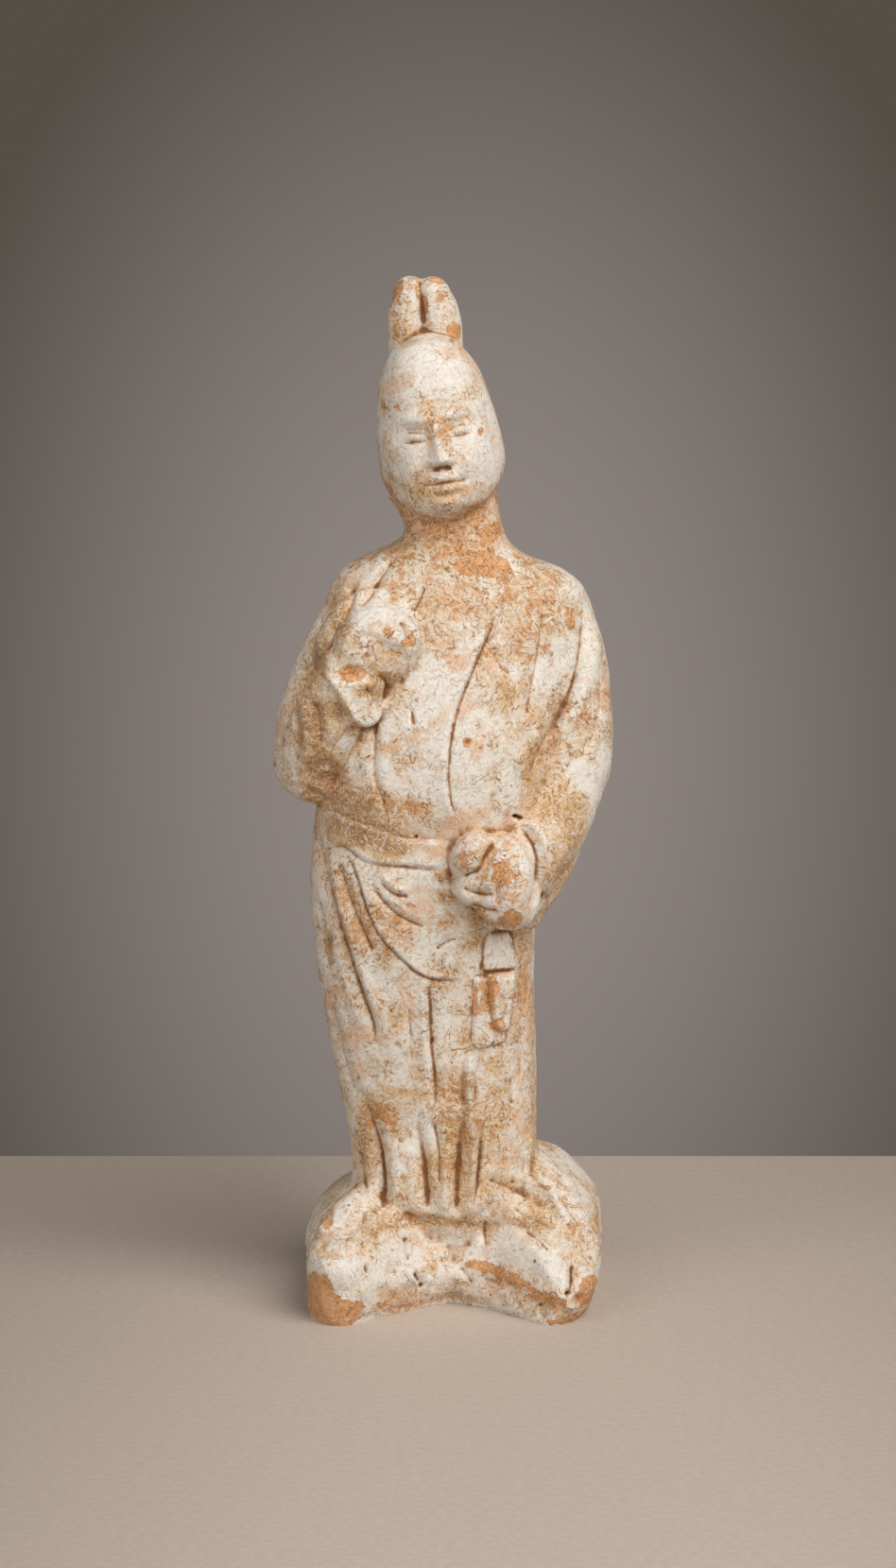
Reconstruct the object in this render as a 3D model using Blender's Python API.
"""Terracotta figure of a standing attendant in a long belted robe and a tall two-lobed cap.

The figure, its feet and the rough base under them are one piece of fired clay, so the model is
one solid. Each mass of the body is a closed surface: a stack of cross-sections, a limb carried
along a path, or an ellipsoid. The masses are fused, softened and then carved, as clay is.
The figure faces -Y, +Z is up, and the origin is on the floor under the middle of the base.
"""

import bmesh
import bpy
import numpy as np
from mathutils import Matrix

# Driving dimensions, in metres.
HEIGHT = 0.300  # from the floor to the top of the cap's lobes
BASE_WIDTH = 0.0868
BASE_DEPTH = 0.0800
BASE_NOTCH = 0.0235  # how far the base's front runs back from its corners to its middle
BASE_ARCH = 0.0054  # how far the middle of the front stands off the floor
BASE_FOOT_SHIFT = -0.0018  # how far the base's foot stands to the side of its edge
BASE_EDGE_MIDDLE = 0.0100  # heights of the base's upright edge
BASE_EDGE_CORNER = 0.0165
BASE_EDGE_LEFT = 0.0200
BASE_EDGE_RIGHT = 0.0260
BASE_EDGE_BACK = 0.0200

# The figure's pose, proportions and carving are shares of its height: its tables are written
# in units of a three-hundredth of it, which is about a millimetre.
UNIT = HEIGHT / 300.0

# Fineness of the model.
VOXEL = 1.25 * UNIT
SOFTENING_ROUNDS = 7
TRIANGLES = 9600

CLAY_COLOUR = (0.78, 0.64, 0.50, 1.0)
CLAY_ROUGHNESS = 0.9

# The robe, shoulders and neck: height, middle x, half width, front y, back y.
BODY_SECTIONS = (
    (8.0, -2.8, 26.5, -16.5, 19.0),
    (22.0, -2.8, 26.6, -17.6, 19.0),
    (26.0, -2.8, 27.2, -19.4, 19.0),
    (46.0, -2.9, 27.8, -19.4, 19.0),
    (62.0, -4.6, 28.9, -20.2, 19.5),
    (80.0, -6.6, 30.6, -21.5, 20.0),
    (98.0, -8.2, 31.9, -23.0, 20.8),
    (114.0, -8.7, 32.9, -24.5, 21.5),
    (128.0, -8.0, 34.0, -25.5, 22.0),
    (140.0, -6.6, 34.4, -25.8, 22.2),
    (150.0, -5.0, 34.6, -28.0, 22.8),
    (165.0, -3.0, 35.2, -28.0, 22.8),
    (182.0, -1.4, 36.0, -25.0, 21.8),
    (196.0, -0.4, 37.2, -21.5, 20.2),
    (206.0, 0.6, 37.8, -18.5, 18.0),
    (212.0, 1.0, 36.0, -16.4, 15.8),
    (216.5, -0.4, 31.2, -14.8, 14.2),
    (220.5, -2.2, 22.9, -13.6, 13.2),
    (224.6, -0.1, 15.9, -12.8, 12.6),
    (228.6, 0.0, 14.3, -12.4, 12.4),
    (234.0, -1.7, 14.8, -12.4, 12.8),
    (246.0, -2.6, 13.4, -12.0, 13.0),
)
BODY_SQUARENESS = 2.35

# The head, in its own upright frame: height above the chin's level, half width, front y, back y.
HEAD_SECTIONS = (
    (-1.5, 5.4, -14.5, 0.0),
    (1.0, 11.0, -18.4, 6.0),
    (5.0, 15.2, -20.6, 11.0),
    (11.0, 17.7, -21.4, 15.5),
    (18.0, 17.9, -21.4, 18.4),
    (26.0, 17.1, -20.9, 19.2),
    (33.0, 16.0, -19.6, 18.4),
    (39.0, 14.3, -17.4, 16.4),
    (44.5, 11.4, -13.6, 13.0),
    (48.5, 7.6, -9.0, 8.6),
    (50.6, 2.6, -3.0, 3.4),
)
HEAD_SQUARENESS = 2.15
CHIN = (-1.2, -1.0, 234.0)
HEAD_LEAN = -9.0  # degrees, towards the raised hand

# Limbs: points of the path with the half width across and the half depth at each.
RAISED_UPPER_ARM = (
    ((-25.6, 1.0, 201.5), 12.6, 13.0),
    ((-32.6, -1.0, 190.0), 12.2, 12.6),
    ((-38.4, -3.0, 176.0), 12.0, 12.4),
    ((-40.4, -5.5, 161.5), 12.4, 12.6),
)
RAISED_FOREARM = (
    ((-39.8, -8.0, 160.0), 11.6, 11.0),
    ((-37.4, -14.5, 170.0), 11.0, 10.0),
    ((-32.4, -19.0, 180.0), 10.4, 9.2),
    ((-28.5, -21.5, 187.0), 10.0, 8.8),
)
RAISED_CUFF = (
    ((-29.5, -21.0, 189.0), 9.2, 8.6),
    ((-27.0, -22.5, 183.0), 7.8, 7.6),
    ((-26.0, -23.5, 179.0), 4.2, 5.2),
)
LOWERED_UPPER_ARM = (
    ((26.5, 1.0, 203.0), 13.6, 13.0),
    ((30.8, 0.0, 190.0), 13.4, 13.0),
    ((32.9, -1.5, 174.0), 13.3, 13.0),
    ((32.6, -4.0, 159.0), 13.1, 13.0),
)
LOWERED_FOREARM = (
    ((31.4, -6.0, 154.0), 12.4, 12.4),
    ((27.0, -13.0, 143.0), 11.4, 11.0),
    ((20.5, -19.0, 134.0), 10.4, 10.2),
)
LOWERED_SLEEVE = (
    ((29.4, -6.0, 146.0), 10.6, 11.5),
    ((24.2, -10.0, 131.0), 10.0, 10.8),
    ((18.6, -13.0, 119.5), 8.4, 8.8),
)
RAISED_FOOT = (
    ((-16.0, -6.0, 28.0), 9.0, 8.0),
    ((-27.0, -15.0, 26.5), 8.6, 7.6),
    ((-34.2, -23.5, 22.4), 6.2, 5.6),
)
LOWERED_FOOT = (
    ((9.0, -6.0, 28.0), 8.6, 8.0),
    ((19.5, -14.5, 25.6), 8.2, 7.2),
    ((28.5, -21.0, 22.4), 6.2, 5.8),
    ((33.0, -25.0, 20.0), 4.0, 4.0),
)
LEFT_LOBE = (
    ((-13.2, 7.0, 276.0), 5.6, 7.0),
    ((-13.6, 7.0, 288.0), 5.5, 7.0),
    ((-12.8, 6.5, 294.7), 5.0, 6.2),
)
RIGHT_LOBE = (
    ((-3.2, 7.0, 276.0), 6.2, 7.0),
    ((-4.1, 7.0, 288.0), 6.1, 7.0),
    ((-5.9, 6.5, 294.4), 5.2, 6.4),
)

# Ellipsoids: middle, half sizes, and the turn about Y in degrees.
RAISED_FIST = ((-22.6, -20.5, 196.0), (13.6, 9.0, 11.6), -30.0)
RAISED_KNUCKLES = ((-16.4, -22.4, 199.0), (6.6, 7.4, 7.0), -30.0)
RAISED_THUMB = ((-28.4, -24.6, 193.6), (5.2, 5.6, 4.6), -30.0)
SLIP_UNDER_FIST = ((-21.5, -14.5, 195.0), (18.5, 8.6, 17.5), -30.0)
LOWERED_FIST = ((14.4, -25.5, 129.0), (10.4, 11.2, 14.4), -10.0)
LOWERED_THUMB = ((5.6, -27.5, 136.4), (6.4, 8.0, 8.0), 24.0)
LOWERED_FINGERS = ((5.0, -26.0, 128.0), (5.4, 7.4, 6.2), -20.0)
ELBOW_KNOB = ((-38.2, -16.8, 159.4), (3.2, 2.6, 3.4), 0.0)
CAP_CURL = ((-17.0, 0.0, 236.0), (2.3, 2.2, 1.5), 25.0)
SMALL_MASSES = (
    RAISED_FIST,
    RAISED_KNUCKLES,
    RAISED_THUMB,
    SLIP_UNDER_FIST,
    LOWERED_FIST,
    LOWERED_THUMB,
    LOWERED_FINGERS,
    ELBOW_KNOB,
    CAP_CURL,
)
RIGHT_EAR = ((15.9, 2.0, 20.5), (1.8, 3.8, 9.5), 0.0)
LEFT_EAR = ((-16.6, 2.0, 19.0), (1.8, 3.8, 8.0), 0.0)

# The base's rim: direction in degrees from +X, height of the upright edge there, and the height
# where its rough top meets the robe, as a multiple of that edge.
BASE_RIM = (
    (-180.0, BASE_EDGE_LEFT, 1.85),
    (-155.0, BASE_EDGE_LEFT, 1.75),
    (-135.0, 1.1 * BASE_EDGE_CORNER, 1.7),
    (-112.0, 0.74 * BASE_EDGE_CORNER, 2.1),
    (-90.0, BASE_EDGE_MIDDLE, 2.3),
    (-68.0, 0.72 * BASE_EDGE_CORNER, 2.2),
    (-42.0, 0.72 * BASE_EDGE_CORNER, 2.4),
    (-22.0, 0.9 * BASE_EDGE_RIGHT, 1.8),
    (0.0, 1.06 * BASE_EDGE_RIGHT, 1.62),
    (40.0, 0.95 * BASE_EDGE_RIGHT, 1.7),
    (90.0, BASE_EDGE_BACK, 1.7),
    (140.0, BASE_EDGE_BACK, 1.7),
    (180.0, BASE_EDGE_LEFT, 1.85),
)
# The base's profile above the floor: share of the way out to its plan outline, and height, as
# edge heights up to 1 and past 1 as the part of the way from the edge to the robe.
BASE_PROFILE = (
    (0.945, 0.00),
    (0.976, 0.28),
    (0.995, 0.58),
    (1.000, 0.85),
    (0.975, 1.06),
    (0.932, 1.22),
    (0.880, 1.40),
    (0.800, 1.62),
    (0.690, 1.83),
    (0.500, 2.00),
)

# Carving. Each row is a kind, half width, relief (minus is cut in), the y that the ground must
# be in front of, and the line's points as x and height. A groove or ridge follows its line; a
# step raises the ground on the left of its line's direction and fades over a few widths.
ANY = 100.0
ROBE_FRONT = (
    ("step", 1.4, 1.3, ANY,
     ((-0.8, 146.5), (-1.9, 160.6), (-1.1, 170.8), (3.2, 183.5), (8.3, 195.5), (12.1, 206.7))),
    ("line", 1.0, -0.5, ANY, ((8.6, 195.5), (11.8, 191.5), (16.4, 188.7))),
    ("line", 1.1, -0.6, ANY, ((10.2, 172.0), (10.8, 152.6), (11.3, 145.0))),
    ("line", 1.4, -1.0, ANY, ((-17.4, 219.2), (-22.2, 212.4), (-28.0, 206.0))),
    ("line", 1.1, -0.7, ANY, ((-8.1, 212.7), (-11.6, 205.1))),
    ("line", 1.4, -1.1, ANY, ((-28.5, 210.5), (-31.5, 204.0), (-34.5, 197.0))),
    ("line", 1.2, -0.8, ANY, ((-22.1, 176.8), (-23.2, 168.0), (-22.7, 159.0), (-20.8, 150.0))),
    ("line", 1.5, -1.2, ANY, ((38.5, 205.3), (34.8, 186.9), (30.7, 172.6), (21.9, 158.8))),
    ("line", 1.5, -0.9, ANY, ((39.2, 168.8), (32.3, 160.8))),
    ("line", 1.4, -1.1, ANY, ((25.4, 206.6), (23.8, 195.6), (22.1, 182.8), (20.8, 174.0))),
    ("line", 1.5, -1.0, ANY, ((-39.6, 181.3), (-38.2, 175.7), (-37.8, 167.7))),
    ("line", 1.6, -1.0, ANY, ((-44.5, 186.0), (-44.0, 174.0), (-44.8, 162.0))),
    ("line", 1.4, -0.9, ANY, ((-33.0, 176.0), (-32.0, 168.0), (-36.0, 161.0))),
    ("step", 1.5, 1.2, ANY, ((-36.9, 135.9), (-28.6, 135.0), (-21.7, 133.8), (-10.1, 133.8), (0.0, 133.4))),
    ("step", 1.4, 0.9, ANY, ((0.0, 141.2), (-13.6, 141.9), (-20.3, 143.5), (-27.1, 145.6), (-37.7, 148.3))),
    ("step", 1.6, 1.7, ANY,
     ((-31.3, 134.6), (-26.4, 123.7), (-21.8, 112.7), (-13.7, 103.8), (-6.8, 99.9), (5.0, 98.7))),
    ("line", 1.3, -1.0, ANY, ((-22.6, 127.7), (-18.2, 122.4), (-13.3, 118.0), (-7.6, 114.9))),
    ("line", 1.1, -0.7, ANY, ((-20.1, 131.0), (-16.3, 127.3), (-13.0, 125.6))),
    ("line", 1.1, -0.6, ANY, ((1.2, 111.8), (-5.4, 108.7))),
    ("line", 1.5, -1.3, ANY,
     ((-40.2, 138.6), (-36.6, 125.0), (-33.1, 113.6), (-29.6, 101.5), (-25.0, 87.0), (-22.4, 74.5))),
    ("line", 1.3, -1.0, ANY, ((-34.4, 133.5), (-31.9, 125.4), (-27.6, 117.4), (-22.7, 103.4))),
    ("line", 1.5, -1.0, ANY, ((-41.1, 119.7), (-39.7, 110.8))),
    ("line", 1.5, -1.2, ANY, ((-36.8, 87.3), (-34.3, 79.2), (-31.6, 66.9), (-28.0, 58.8))),
    ("line", 1.2, -1.0, ANY, ((-7.4, 98.4), (-6.3, 76.9), (-4.7, 54.4), (-3.9, 31.8))),
    ("line", 1.8, -2.2, ANY, ((-29.9, 69.1), (-27.4, 57.8), (-22.2, 42.3), (-21.0, 35.2), (-21.0, 26.5))),
    ("line", 1.6, -1.5, ANY, ((-9.7, 47.5), (-8.6, 40.8), (-7.5, 30.7), (-6.9, 23.0))),
    ("line", 1.6, -0.9, ANY, ((-15.5, 42.7), (-14.7, 27.0))),
    ("line", 1.5, -0.9, ANY, ((0.3, 50.6), (0.6, 24.5))),
    ("line", 1.5, 1.1, ANY, ((5.4, 77.0), (5.2, 56.3), (5.5, 45.9), (5.5, 33.2), (3.1, 22.5))),
    ("line", 1.5, -1.3, ANY, ((10.7, 54.8), (9.2, 44.5), (8.0, 33.1))),
    ("line", 1.2, -0.8, ANY, ((16.9, 68.5), (17.1, 62.6))),
    ("line", 1.6, -1.0, ANY, ((24.2, 46.3), (22.4, 33.9))),
)
CAP = (
    ("line", 1.0, -1.0, ANY, ((-9.9, 304.0), (-9.6, 297.0), (-9.0, 291.0), (-8.6, 286.0))),
    ("line", 1.1, -0.7, ANY,
     ((2.6, 280.6), (-1.1, 283.0), (-5.0, 284.4), (-8.3, 284.9), (-11.6, 283.8), (-17.0, 280.6))),
)
FEET_AND_BASE = (
    ("step", 1.5, 1.0, ANY,
     ((-31.0, 28.6), (-21.0, 26.2), (-13.8, 24.7), (-5.5, 22.7), (3.6, 21.2), (8.3, 24.4),
      (13.8, 30.2))),
    ("line", 1.3, -1.1, ANY, ((-21.0, 27.5), (-26.2, 25.0), (-33.0, 21.8), (-37.0, 18.8))),
    ("line", 1.7, 1.5, ANY, ((-31.2, 37.8), (-36.4, 32.3), (-38.4, 28.5), (-38.6, 20.3))),
    ("line", 1.3, -1.1, ANY, ((11.1, 31.7), (18.0, 29.2), (26.2, 25.8), (34.4, 22.0))),
    ("line", 1.7, 1.5, ANY, ((24.0, 40.1), (25.8, 34.0), (30.0, 30.2), (33.4, 26.3), (36.5, 22.0))),
    ("line", 1.6, 1.0, ANY, ((-41.0, 18.0), (-33.0, 15.6), (-24.0, 13.0), (-15.0, 11.4), (-6.0, 12.6))),
    ("line", 1.6, 1.0, ANY, ((2.0, 13.2), (10.0, 12.6), (18.0, 11.2), (26.0, 9.4), (36.0, 9.2))),
    ("line", 1.2, -1.4, ANY, ((-15.2, 13.0), (-11.1, 6.5), (-9.4, 4.0))),
    ("line", 1.0, -1.5, ANY, ((35.2, 15.2), (34.6, 8.7), (36.2, 3.6))),
)
HANDS = (
    ("line", 2.1, -2.4, -18.0, ((-31.8, 191.8), (-28.6, 188.0), (-24.6, 185.6), (-20.6, 186.2))),
    ("line", 1.5, 1.0, -18.0,
     ((-34.6, 191.0), (-31.6, 185.6), (-29.0, 180.7), (-25.8, 177.0), (-22.6, 180.0),
      (-19.6, 183.0))),
    ("line", 1.2, -0.8, -20.0, ((-15.6, 204.0), (-13.4, 200.0), (-10.8, 197.0))),
    ("line", 1.5, -0.7, -20.0, ((-33.0, 193.6), (-27.0, 195.0), (-20.0, 195.8), (-12.6, 197.4))),
    ("line", 1.5, -1.4, -22.0, ((13.9, 145.2), (11.6, 141.0), (9.5, 136.0), (6.0, 131.6), (1.6, 130.6))),
    ("line", 1.3, -1.1, -22.0, ((9.4, 134.0), (9.6, 129.0), (8.6, 124.0))),
    ("line", 1.2, -0.7, -24.0, ((5.6, 123.6), (9.6, 122.8))),
    ("line", 1.5, 0.9, -14.0, ((23.6, 148.0), (26.8, 143.0), (28.4, 136.3), (27.7, 128.8), (24.6, 120.4))),
    ("line", 1.4, -0.9, -14.0, ((21.6, 146.0), (24.6, 141.6), (25.6, 135.0), (24.4, 127.0), (21.0, 119.6))),
)
# Drapery of the plain back: the same rows, cut into the ground that faces away.
ROBE_BACK = (
    ("line", 2.2, -1.0, ANY, ((-27.0, 204.0), (-24.0, 184.0), (-25.0, 164.0))),
    ("line", 2.2, -1.0, ANY, ((26.0, 204.0), (23.0, 184.0), (22.0, 162.0))),
    ("line", 2.4, -0.8, ANY, ((-2.0, 198.0), (-4.0, 176.0), (-3.0, 156.0))),
    ("step", 1.6, 1.0, ANY, ((30.0, 136.4), (12.0, 134.6), (-10.0, 134.6), (-37.0, 137.4))),
    ("step", 1.6, 0.9, ANY, ((-37.0, 147.2), (-10.0, 143.6), (12.0, 143.2), (30.0, 144.6))),
    ("line", 2.2, -1.3, ANY, ((-30.0, 128.0), (-27.0, 90.0), (-22.0, 50.0), (-20.0, 34.0))),
    ("line", 2.2, -1.1, ANY, ((-14.0, 118.0), (-11.0, 80.0), (-9.0, 38.0))),
    ("line", 2.2, -1.3, ANY, ((3.0, 126.0), (3.0, 84.0), (5.0, 34.0))),
    ("line", 2.2, -1.1, ANY, ((18.0, 116.0), (16.0, 76.0), (17.0, 38.0))),
)

# The hanging pouch and the panel behind it: flat plates with bevelled edges. Relief, edge width
# and corners as x and height, in order round the plate.
PLATES = (
    (0.7, 0.8, ((6.4, 99.0), (6.4, 77.0), (14.6, 77.4), (15.6, 99.0))),
    (2.4, 1.1, ((9.4, 113.6), (8.6, 100.6), (17.4, 99.8), (16.2, 112.6))),
    (2.6, 1.1, ((9.4, 98.6), (10.0, 91.0), (12.6, 82.4), (14.8, 82.6), (16.6, 91.0), (17.2, 98.0))),
)


def smooth_through(table, at):
    """Values between the rows of a table: cubic Hermite pieces whose slopes are those of the
    parabola through each row and its two neighbours. The first column is the parameter."""
    rows = np.asarray(table, float)
    t, v = rows[:, 0], rows[:, 1:]
    h = np.diff(t)[:, None]
    chord = np.diff(v, axis=0) / h
    inner = (chord[:-1] * h[1:] + chord[1:] * h[:-1]) / (h[:-1] + h[1:])
    slope = np.vstack([chord[:1], inner, chord[-1:]])
    at = np.clip(at, t[0], t[-1])
    k = np.clip(np.searchsorted(t, at, side="right") - 1, 0, len(h) - 1)
    s = ((at - t[k]) / h[k, 0])[:, None]
    return (
        (1 + 2 * s) * (1 - s) ** 2 * v[k]
        + s * (1 - s) ** 2 * h[k] * slope[k]
        + s * s * (3 - 2 * s) * v[k + 1]
        + s * s * (s - 1) * h[k] * slope[k + 1]
    )


def ramp(value, low, high):
    """0 below low, 1 above high, and a smooth cubic between."""
    s = np.clip((value - low) / (high - low), 0, 1)
    return s * s * (3 - 2 * s)


def power(value, exponent):
    return np.sign(value) * np.abs(value) ** exponent


def rings_to_mass(rings):
    """A closed surface from an array of rings (ring, point, xyz), its ends closed by a fan."""
    count, around = rings.shape[:2]
    points = np.vstack([rings.reshape(-1, 3), rings[0].mean(0), rings[-1].mean(0)])
    i, j = np.meshgrid(np.arange(count - 1), np.arange(around), indexing="ij")
    nxt = (j + 1) % around
    quads = np.stack([i * around + j, i * around + nxt, (i + 1) * around + nxt, (i + 1) * around + j], -1)
    j = np.arange(around)
    nxt = (j + 1) % around
    bottom = np.stack([nxt, j, np.full(around, count * around)], -1)
    last = (count - 1) * around
    top = np.stack([last + j, last + nxt, np.full(around, count * around + 1)], -1)
    return points, quads.reshape(-1, 4).tolist() + bottom.tolist() + top.tolist()


def stacked(sections, squareness, step=1.5, around=96):
    """A stack of rounded cross-sections. Each is a superellipse: x runs as the cosine and y as the
    sine, both to the power 2 / squareness, with a front and a back depth of their own."""
    table = np.asarray(sections, float)
    z = np.linspace(table[0, 0], table[-1, 0], int((table[-1, 0] - table[0, 0]) / step) + 2)
    middle, half, front, back = smooth_through(table, z).T[:, :, None]
    turn = np.linspace(0, 2 * np.pi, around, endpoint=False)
    c, s = power(np.cos(turn), 2 / squareness), power(np.sin(turn), 2 / squareness)
    x = middle + half * c
    y = np.where(s < 0, -front * s, back * s)
    return rings_to_mass(np.stack([x, y, np.broadcast_to(z[:, None], x.shape)], -1) * UNIT)


def limb(rows, around=40, rings=28):
    """An oval tube carried along a smooth path, with rounded ends. Each ring lies across the path,
    its width level, and past each end it shrinks as a half circle does."""
    table = [(k, *place, across, deep) for k, (place, across, deep) in enumerate(rows)]
    along = smooth_through(table, np.linspace(0, len(rows) - 1, rings))
    path, across, deep = along[:, :3], along[:, 3], along[:, 4]
    way = np.gradient(path, axis=0)
    way /= np.linalg.norm(way, axis=1, keepdims=True)
    cap = np.linspace(0, np.pi / 2, 9)[1:-1]
    size = (across + deep) / 2
    start = path[:1] - way[:1] * size[0] * np.sin(cap)[::-1, None]
    end = path[-1:] + way[-1:] * size[-1] * np.sin(cap)[:, None]
    path = np.vstack([start, path, end])
    way = np.vstack([np.repeat(way[:1], len(cap), 0), way, np.repeat(way[-1:], len(cap), 0)])
    shrink = np.concatenate([np.cos(cap)[::-1], np.ones(rings), np.cos(cap)])
    across = np.pad(across, len(cap), mode="edge") * shrink
    deep = np.pad(deep, len(cap), mode="edge") * shrink
    level = np.cross(way, (0.0, 1.0, 0.0))
    level /= np.linalg.norm(level, axis=1, keepdims=True)
    other = np.cross(way, level)
    turn = np.linspace(0, 2 * np.pi, around, endpoint=False)[None, :, None]
    points = path[:, None] + across[:, None, None] * np.cos(turn) * level[:, None]
    points = points + deep[:, None, None] * np.sin(turn) * other[:, None]
    return rings_to_mass(points * UNIT)


def ellipsoid(middle, half_sizes, turn_degrees, around=48, rings=30):
    """Cosine of latitude times cosine or sine of longitude across, sine of latitude up, each times
    its half size, turned about Y."""
    lat = np.linspace(-np.pi / 2, np.pi / 2, rings + 2)[1:-1, None]
    lon = np.linspace(0, 2 * np.pi, around, endpoint=False)[None]
    up = np.sin(lat) * np.ones_like(lon)
    p = np.stack([np.cos(lat) * np.cos(lon), np.cos(lat) * np.sin(lon), up], -1) * half_sizes
    turn = np.array(Matrix.Rotation(np.radians(turn_degrees), 3, "Y"))
    return rings_to_mass((p @ turn.T + middle) * UNIT)


def base_block(around=180):
    """The base: a rounded rectangle in plan whose front runs back from the corners to the middle,
    carried up an upright edge and then in over a rough shoulder to the robe. Its corners are
    rounder behind, its edge and the shoulder's height change round the plan, and the middle of
    the front stands off the floor."""
    turn = np.linspace(0, 2 * np.pi, around, endpoint=False)
    squareness = 5.2 - 2.0 * np.sin(turn)
    x = BASE_WIDTH / 2 * power(np.cos(turn), 2 / squareness)
    y = BASE_DEPTH / 2 * power(np.sin(turn), 2 / squareness)
    off_middle = np.sqrt((x - 0.03 * BASE_WIDTH) ** 2 + (0.05 * BASE_WIDTH) ** 2)
    reach = np.where(x < 0.03 * BASE_WIDTH, 0.37, 0.33) * BASE_WIDTH
    hollow = np.clip(1.06 - off_middle / reach, 0, 1) ** 0.9 * ramp(-y, 0.0, BASE_DEPTH / 2)
    x = x * (1 - 0.07 * ramp(-y, 0.25 * BASE_DEPTH, 0.5 * BASE_DEPTH) * (x > 0))
    y = y + BASE_NOTCH * hollow
    rim = smooth_through(BASE_RIM, np.degrees(np.arctan2(y, x)))
    edge, robe = rim[:, 0], rim[:, 0] * rim[:, 1]
    rows = [(k, *row) for k, row in enumerate(BASE_PROFILE)]
    share, level = smooth_through(rows, np.linspace(0, len(rows) - 1, 36)).T[:, :, None]
    arch = BASE_ARCH * hollow
    z = arch + (edge - arch) * np.minimum(level, 1) + (robe - edge) * np.clip(level - 1, 0, 1)
    x = share * x + BASE_FOOT_SHIFT * np.clip(1 - z / BASE_EDGE_MIDDLE, 0, 1)
    y = share * y
    below = 6 * UNIT
    inset = np.array([0.3, 0.8, 1.0])[:, None]
    foot_z = np.array([0.0, 0.5, 1.0])[:, None] * (arch + below) * (hollow > 0) - below
    x, y, z = np.vstack([inset * x[0], x]), np.vstack([inset * y[0], y]), np.vstack([foot_z, z])
    return rings_to_mass(np.stack([x, y, z], -1))


def in_head_frame(mass):
    """A mass modelled above the chin, leaned over to the side and set on the neck."""
    points, faces = mass
    lean = np.array(Matrix.Rotation(np.radians(HEAD_LEAN), 3, "Y"))
    return points @ lean.T + np.array(CHIN) * UNIT, faces


def masses():
    head = [(z, 0.0, half, front, back) for z, half, front, back in HEAD_SECTIONS]
    limbs = (
        RAISED_UPPER_ARM,
        RAISED_FOREARM,
        RAISED_CUFF,
        LOWERED_UPPER_ARM,
        LOWERED_FOREARM,
        LOWERED_SLEEVE,
        RAISED_FOOT,
        LOWERED_FOOT,
        LEFT_LOBE,
        RIGHT_LOBE,
    )
    return [
        base_block(),
        stacked(BODY_SECTIONS, BODY_SQUARENESS),
        in_head_frame(stacked(head, HEAD_SQUARENESS)),
        in_head_frame(ellipsoid(*RIGHT_EAR)),
        in_head_frame(ellipsoid(*LEFT_EAR)),
        *[limb(rows) for rows in limbs],
        *[ellipsoid(*shape) for shape in SMALL_MASSES],
    ]


def line_relief(p, facing, row):
    """Relief of one carved line at every point. The line is the smooth curve through its points in
    the front view, and its relief is a bell across it that runs out at both ends."""
    kind, width, relief, before, line = row
    out = np.zeros(len(p))
    steps = np.linspace(0, len(line) - 1, 30 * len(line))
    curve = smooth_through([(k, *q) for k, q in enumerate(line)], steps)
    low, high = curve.min(0) - 6 * width, curve.max(0) + 6 * width
    flat = p[:, [0, 2]]
    near = (flat > low).all(1) & (flat < high).all(1) & (p[:, 1] < before) & (facing > 0)
    at = np.flatnonzero(near)
    gap = flat[at, None] - curve[None]
    distance = np.linalg.norm(gap, axis=2)
    k = distance.argmin(1)
    d = distance[np.arange(len(at)), k]
    along = k / (len(curve) - 1)
    taper = ramp(along, 0.0, 0.12) * ramp(1 - along, 0.0, 0.12)
    if kind == "line":
        shape = np.exp(-((d / width) ** 2)) * relief
    else:
        way = np.gradient(curve, axis=0)[k]
        side = way[:, 0] * gap[np.arange(len(at)), k, 1] - way[:, 1] * gap[np.arange(len(at)), k, 0]
        s = np.where(side > 0, d, -d)
        shape = relief * ramp(s, -0.4 * width, 0.9 * width) * np.exp(-np.clip(s, 0, None) / (3.2 * width))
        shape = shape - 0.45 * relief * np.exp(-(((s + 0.7 * width) / width) ** 2))
    out[at] = shape * taper * facing[at]
    return out


def plate_relief(p, facing, row):
    """Relief of a flat plate: full inside its convex outline, none outside, bevelled between."""
    relief, edge, corners = row
    c = np.asarray(corners)
    side = np.roll(c, -1, axis=0) - c
    if np.cross(side, np.roll(side, -1, axis=0)).sum() < 0:
        side = -side
    normal = np.stack([side[:, 1], -side[:, 0]], -1) / np.linalg.norm(side, axis=1, keepdims=True)
    outside = ((p[:, None, [0, 2]] - c[None]) * normal[None]).sum(2).max(1)
    return relief * ramp(-outside, -0.5 * edge, 0.7 * edge) * facing * (p[:, 1] < -10)


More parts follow.
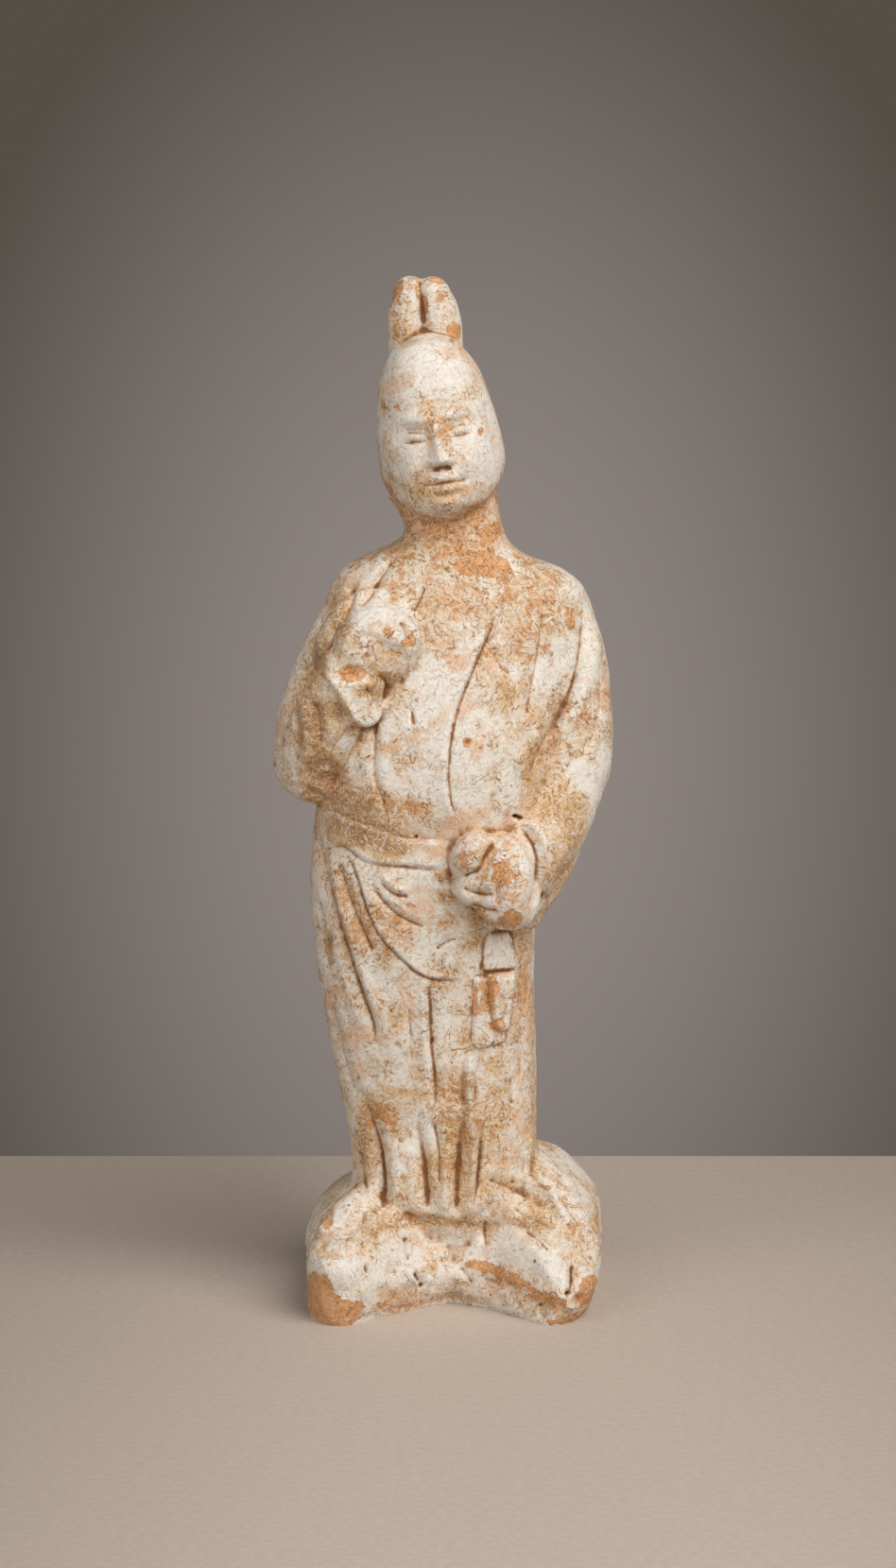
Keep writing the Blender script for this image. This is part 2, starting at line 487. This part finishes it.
def face_relief(p):
    """How far a calm, plain face stands forward of the head's oval: a sum of bells in the head's
    upright frame, x across and z up from the chin, mirrored left to right. Only the front counts."""
    lean = np.array(Matrix.Rotation(np.radians(HEAD_LEAN), 3, "Y"))
    q = (p - np.array(CHIN)) @ lean
    x, z = np.abs(q[:, 0]), q[:, 2]

    def bell(x0, z0, wide, tall):
        return np.exp(-(((x - x0) / wide) ** 2) - ((z - z0) / tall) ** 2)

    down = np.clip((27.0 - z) / 11.5, 0, 1)
    bridge = np.exp(-((x / (1.3 + 1.0 * down)) ** 2)) * ramp(z, 14.0, 16.2) * ramp(-z, -30.0, -25.0)
    relief = bridge * (0.9 + 2.9 * down)
    relief += 1.0 * bell(2.6, 15.6, 1.3, 1.4) - 0.9 * bell(1.4, 13.6, 1.2, 0.8)
    relief += 0.9 * bell(5.6, 28.2, 4.6, 1.8) - 1.9 * bell(6.8, 24.4, 3.9, 2.5)
    relief += 1.5 * bell(7.0, 24.0, 2.9, 1.5) - 0.7 * bell(7.0, 22.0, 3.2, 0.7)
    relief += 1.1 * bell(9.0, 15.5, 4.6, 4.4)
    relief += 0.8 * bell(0.0, 10.8, 3.9, 1.2) + 1.0 * bell(0.0, 7.9, 3.2, 1.3)
    relief -= 1.1 * bell(0.0, 9.5, 4.4, 0.7) + 0.5 * bell(5.4, 9.6, 1.2, 1.4)
    relief += 1.3 * bell(0.0, 3.6, 4.6, 2.4) - 0.6 * bell(0.0, 6.1, 4.0, 0.9)
    cap_edge = 33.2 - 0.006 * x**2 - 0.00035 * x**4
    brim = ramp(z, cap_edge - 1.2, cap_edge + 0.8) * np.exp(-np.clip(z - cap_edge, 0, None) / 7.0)
    relief += 0.5 * brim * ramp(-x, -15.0, -8.0)
    on_face = ramp(-q[:, 1], 2.0, 8.0) * ramp(z, -3.0, 0.5)
    return relief * on_face


def carved(points, normals):
    """The softened skin with its carving cut along its normals; the face is pushed along -Y."""
    p = points / UNIT
    front, back = ramp(-normals[:, 1], 0.02, 0.45), ramp(normals[:, 1], 0.02, 0.45)
    relief = np.zeros(len(p))
    for row in ROBE_FRONT + CAP + FEET_AND_BASE + HANDS:
        relief += line_relief(p, front, row)
    for row in ROBE_BACK:
        relief += line_relief(p, back, row)
    for row in PLATES:
        relief += plate_relief(p, front, row)
    moved = p + normals * relief[:, None]
    moved[:, 1] -= face_relief(p)
    return moved * UNIT


def object_from(name, points, faces):
    mesh = bpy.data.meshes.new(name)
    mesh.from_pydata(points.tolist(), [], faces)
    obj = bpy.data.objects.new(name, mesh)
    bpy.context.scene.collection.objects.link(obj)
    return obj


def with_modifiers_applied(obj):
    """The object's mesh with its modifiers applied, as a new object in its place."""
    graph = bpy.context.evaluated_depsgraph_get()
    mesh = bpy.data.meshes.new_from_object(obj.evaluated_get(graph))
    name = obj.name
    bpy.data.objects.remove(obj)
    made = bpy.data.objects.new(name, mesh)
    bpy.context.scene.collection.objects.link(made)
    return made


def fused(name, parts):
    """All masses in one mesh, made one skin by a voxel remesh and then softened."""
    points, faces, first = [], [], 0
    for mass_points, mass_faces in parts:
        points.append(mass_points)
        faces += [[first + k for k in face] for face in mass_faces]
        first += len(mass_points)
    obj = object_from(name, np.vstack(points), faces)
    skin = obj.modifiers.new("one skin", "REMESH")
    skin.mode = "VOXEL"
    skin.voxel_size = VOXEL
    soften = obj.modifiers.new("soften", "SMOOTH")
    soften.factor = 0.5
    soften.iterations = SOFTENING_ROUNDS
    return with_modifiers_applied(obj)


def carve(obj):
    mesh = obj.data
    count = len(mesh.vertices)
    points = np.empty(count * 3)
    normals = np.empty(count * 3, np.float32)
    mesh.vertices.foreach_get("co", points)
    mesh.vertex_normals.foreach_get("vector", normals)
    moved = carved(points.reshape(-1, 3), normals.reshape(-1, 3).astype(float))
    mesh.vertices.foreach_set("co", moved.ravel())
    mesh.update()


def thinned(obj, triangles):
    """The skin with fewer faces, kept where the carving is: an edge collapse to the count wanted."""
    obj.data.calc_loop_triangles()
    thin = obj.modifiers.new("thin", "DECIMATE")
    thin.ratio = triangles / len(obj.data.loop_triangles)
    thin.use_collapse_triangulate = True
    return with_modifiers_applied(obj)


def stand_flat(obj):
    """Cut the underside off level with the floor and close it with one flat face, its rim sharp."""
    bm = bmesh.new()
    bm.from_mesh(obj.data)
    everything = bm.verts[:] + bm.edges[:] + bm.faces[:]
    cut = bmesh.ops.bisect_plane(
        bm, geom=everything, dist=1e-5, plane_co=(0, 0, 0), plane_no=(0, 0, 1), clear_inner=True
    )
    rim = [e for e in cut["geom_cut"] if isinstance(e, bmesh.types.BMEdge)]
    bmesh.ops.remove_doubles(bm, verts=list({v for e in rim for v in e.verts}), dist=1e-4)
    open_edges = [e for e in bm.edges if e.is_boundary]
    filled = bmesh.ops.contextual_create(bm, geom=open_edges)["faces"]
    bmesh.ops.triangulate(bm, faces=filled)
    for face in bm.faces:
        face.smooth = True
    for edge in bm.edges:
        level = [abs(f.normal.z) > 0.999 and f.calc_center_median().z < 1e-5 for f in edge.link_faces]
        edge.smooth = not (any(level) and not all(level))
    bm.normal_update()
    bm.to_mesh(obj.data)
    bm.free()


def clay():
    material = bpy.data.materials.new("terracotta")
    material.use_nodes = True
    shader = material.node_tree.nodes["Principled BSDF"]
    shader.inputs["Base Color"].default_value = CLAY_COLOUR
    shader.inputs["Roughness"].default_value = CLAY_ROUGHNESS
    return material


def main():
    for obj in list(bpy.data.objects):
        bpy.data.objects.remove(obj)
    figure = fused("figure", masses())
    carve(figure)
    figure = thinned(figure, TRIANGLES)
    stand_flat(figure)
    figure.data.materials.clear()
    figure.data.materials.append(clay())


main()
